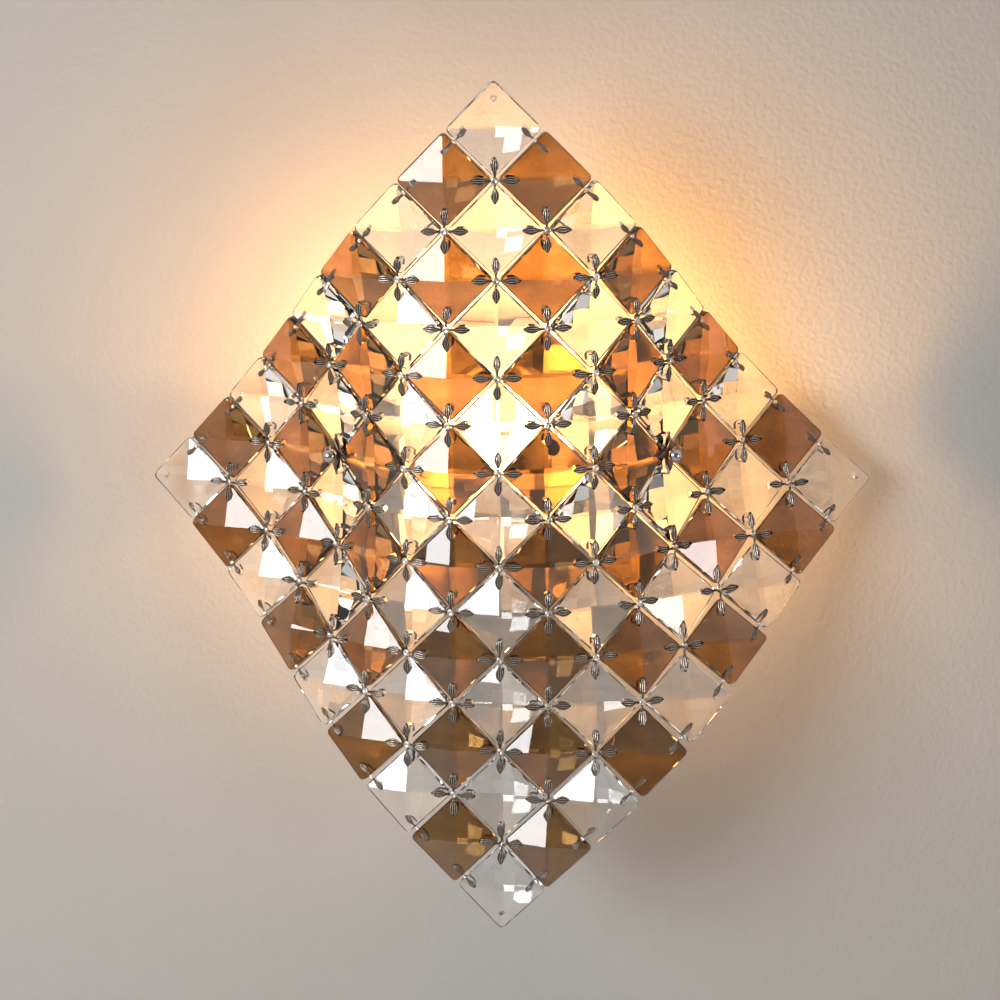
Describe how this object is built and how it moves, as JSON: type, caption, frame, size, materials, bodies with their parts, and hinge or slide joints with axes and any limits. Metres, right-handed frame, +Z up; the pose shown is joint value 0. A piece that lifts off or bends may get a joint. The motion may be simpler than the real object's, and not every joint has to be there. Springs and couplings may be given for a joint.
{
  "type": "crystal wall sconce",
  "caption": "Wall sconce: a curved net of faceted square crystals tied by petal clips, hung on ball-headed screws in front of a small capsule lamp, its holder and a wall box.",
  "frame": {"origin": "on the wall behind the middle of the wall strap, level with the widest row of crystals", "axes": "+Z up, -Y away from the wall into the room, +X to the right for someone who faces the light"},
  "size_m": [0.3368, 0.1111, 0.3786],
  "materials": {
    "crystal_clear": "polished crystal",
    "crystal_amber": "polished smoky amber crystal",
    "petal_metal": "bright",
    "ball_metal": "mirror",
    "lamp_glass": "frosted",
    "pin_metal": "plain",
    "ceramic": "white ceramic",
    "terminal_plastic": "plain",
    "box_metal": "plated sheet",
    "plain_metal": "zinc plated"
  },
  "bodies": {
    "sconce": {"anchor_clip_left": "petal_metal", "anchor_clip_right": "petal_metal", "back_box": "box_metal", "back_washer_left": "plain_metal", "back_washer_right": "plain_metal", "border_clips_lower_left": "petal_metal", "border_clips_lower_right": "petal_metal", "border_clips_upper_left": "petal_metal", "border_clips_upper_right": "petal_metal", "bow_strip": "box_metal", "crystal_row_01": "crystal_clear", "crystal_row_02": "crystal_amber", "crystal_row_03": "crystal_clear", "crystal_row_04": "crystal_amber", "crystal_row_05": "crystal_clear", "crystal_row_06": "crystal_amber", "crystal_row_07": "crystal_clear", "crystal_row_08": "crystal_amber", "crystal_row_09": "crystal_clear", "crystal_row_10": "crystal_amber", "crystal_row_11": "crystal_clear", "crystal_row_12": "crystal_amber", "crystal_row_13": "crystal_clear", "crystal_row_14": "crystal_amber", "crystal_row_15": "crystal_clear", "crystal_row_16": "crystal_amber", "crystal_row_17": "crystal_clear", "four_petal_clips_row_01": "petal_metal", "four_petal_clips_row_02": "petal_metal", "four_petal_clips_row_03": "petal_metal", "four_petal_clips_row_04": "petal_metal", "four_petal_clips_row_05": "petal_metal", "four_petal_clips_row_06": "petal_metal", "four_petal_clips_row_07": "petal_metal", "four_petal_clips_row_08": "petal_metal", "four_petal_clips_row_09": "petal_metal", "four_petal_clips_row_10": "petal_metal", "four_petal_clips_row_11": "petal_metal", "four_petal_clips_row_12": "petal_metal", "four_petal_clips_row_13": "petal_metal", "four_petal_clips_row_14": "petal_metal", "four_petal_clips_row_15": "petal_metal", "front_screws": "plain_metal", "holder_screw": "plain_metal", "lamp_foot": "box_metal", "lamp_holder": "ceramic", "lid_screws": "plain_metal", "spacer_left": "plain_metal", "spacer_right": "plain_metal", "star_washer_left": "petal_metal", "star_washer_right": "petal_metal", "terminal_block": "terminal_plastic", "wall_strap": "plain_metal"},
    "ball_screw_left": {"ball_screw_left": "ball_metal"},
    "ball_screw_right": {"ball_screw_right": "ball_metal"},
    "lamp": {"lamp_glass": "lamp_glass", "lamp_pins": "pin_metal"}
  },
  "joints": [
    {"name": "ball_screw_left_spin", "type": "hinge", "parent": "sconce", "child": "ball_screw_left", "pos_m": [-0.07549, -0.06231, 0.02121], "axis": [-0.6118, -0.791, 0], "continuous": true},
    {"name": "ball_screw_right_spin", "type": "hinge", "parent": "sconce", "child": "ball_screw_right", "pos_m": [0.07491, -0.05965, 0.02121], "axis": [0.6427, -0.7661, 0], "continuous": true},
    {"name": "lamp_pull", "type": "slide", "parent": "sconce", "child": "lamp", "axis": [0, 0, 1], "range_m": [0, 0.012]}
  ]
}
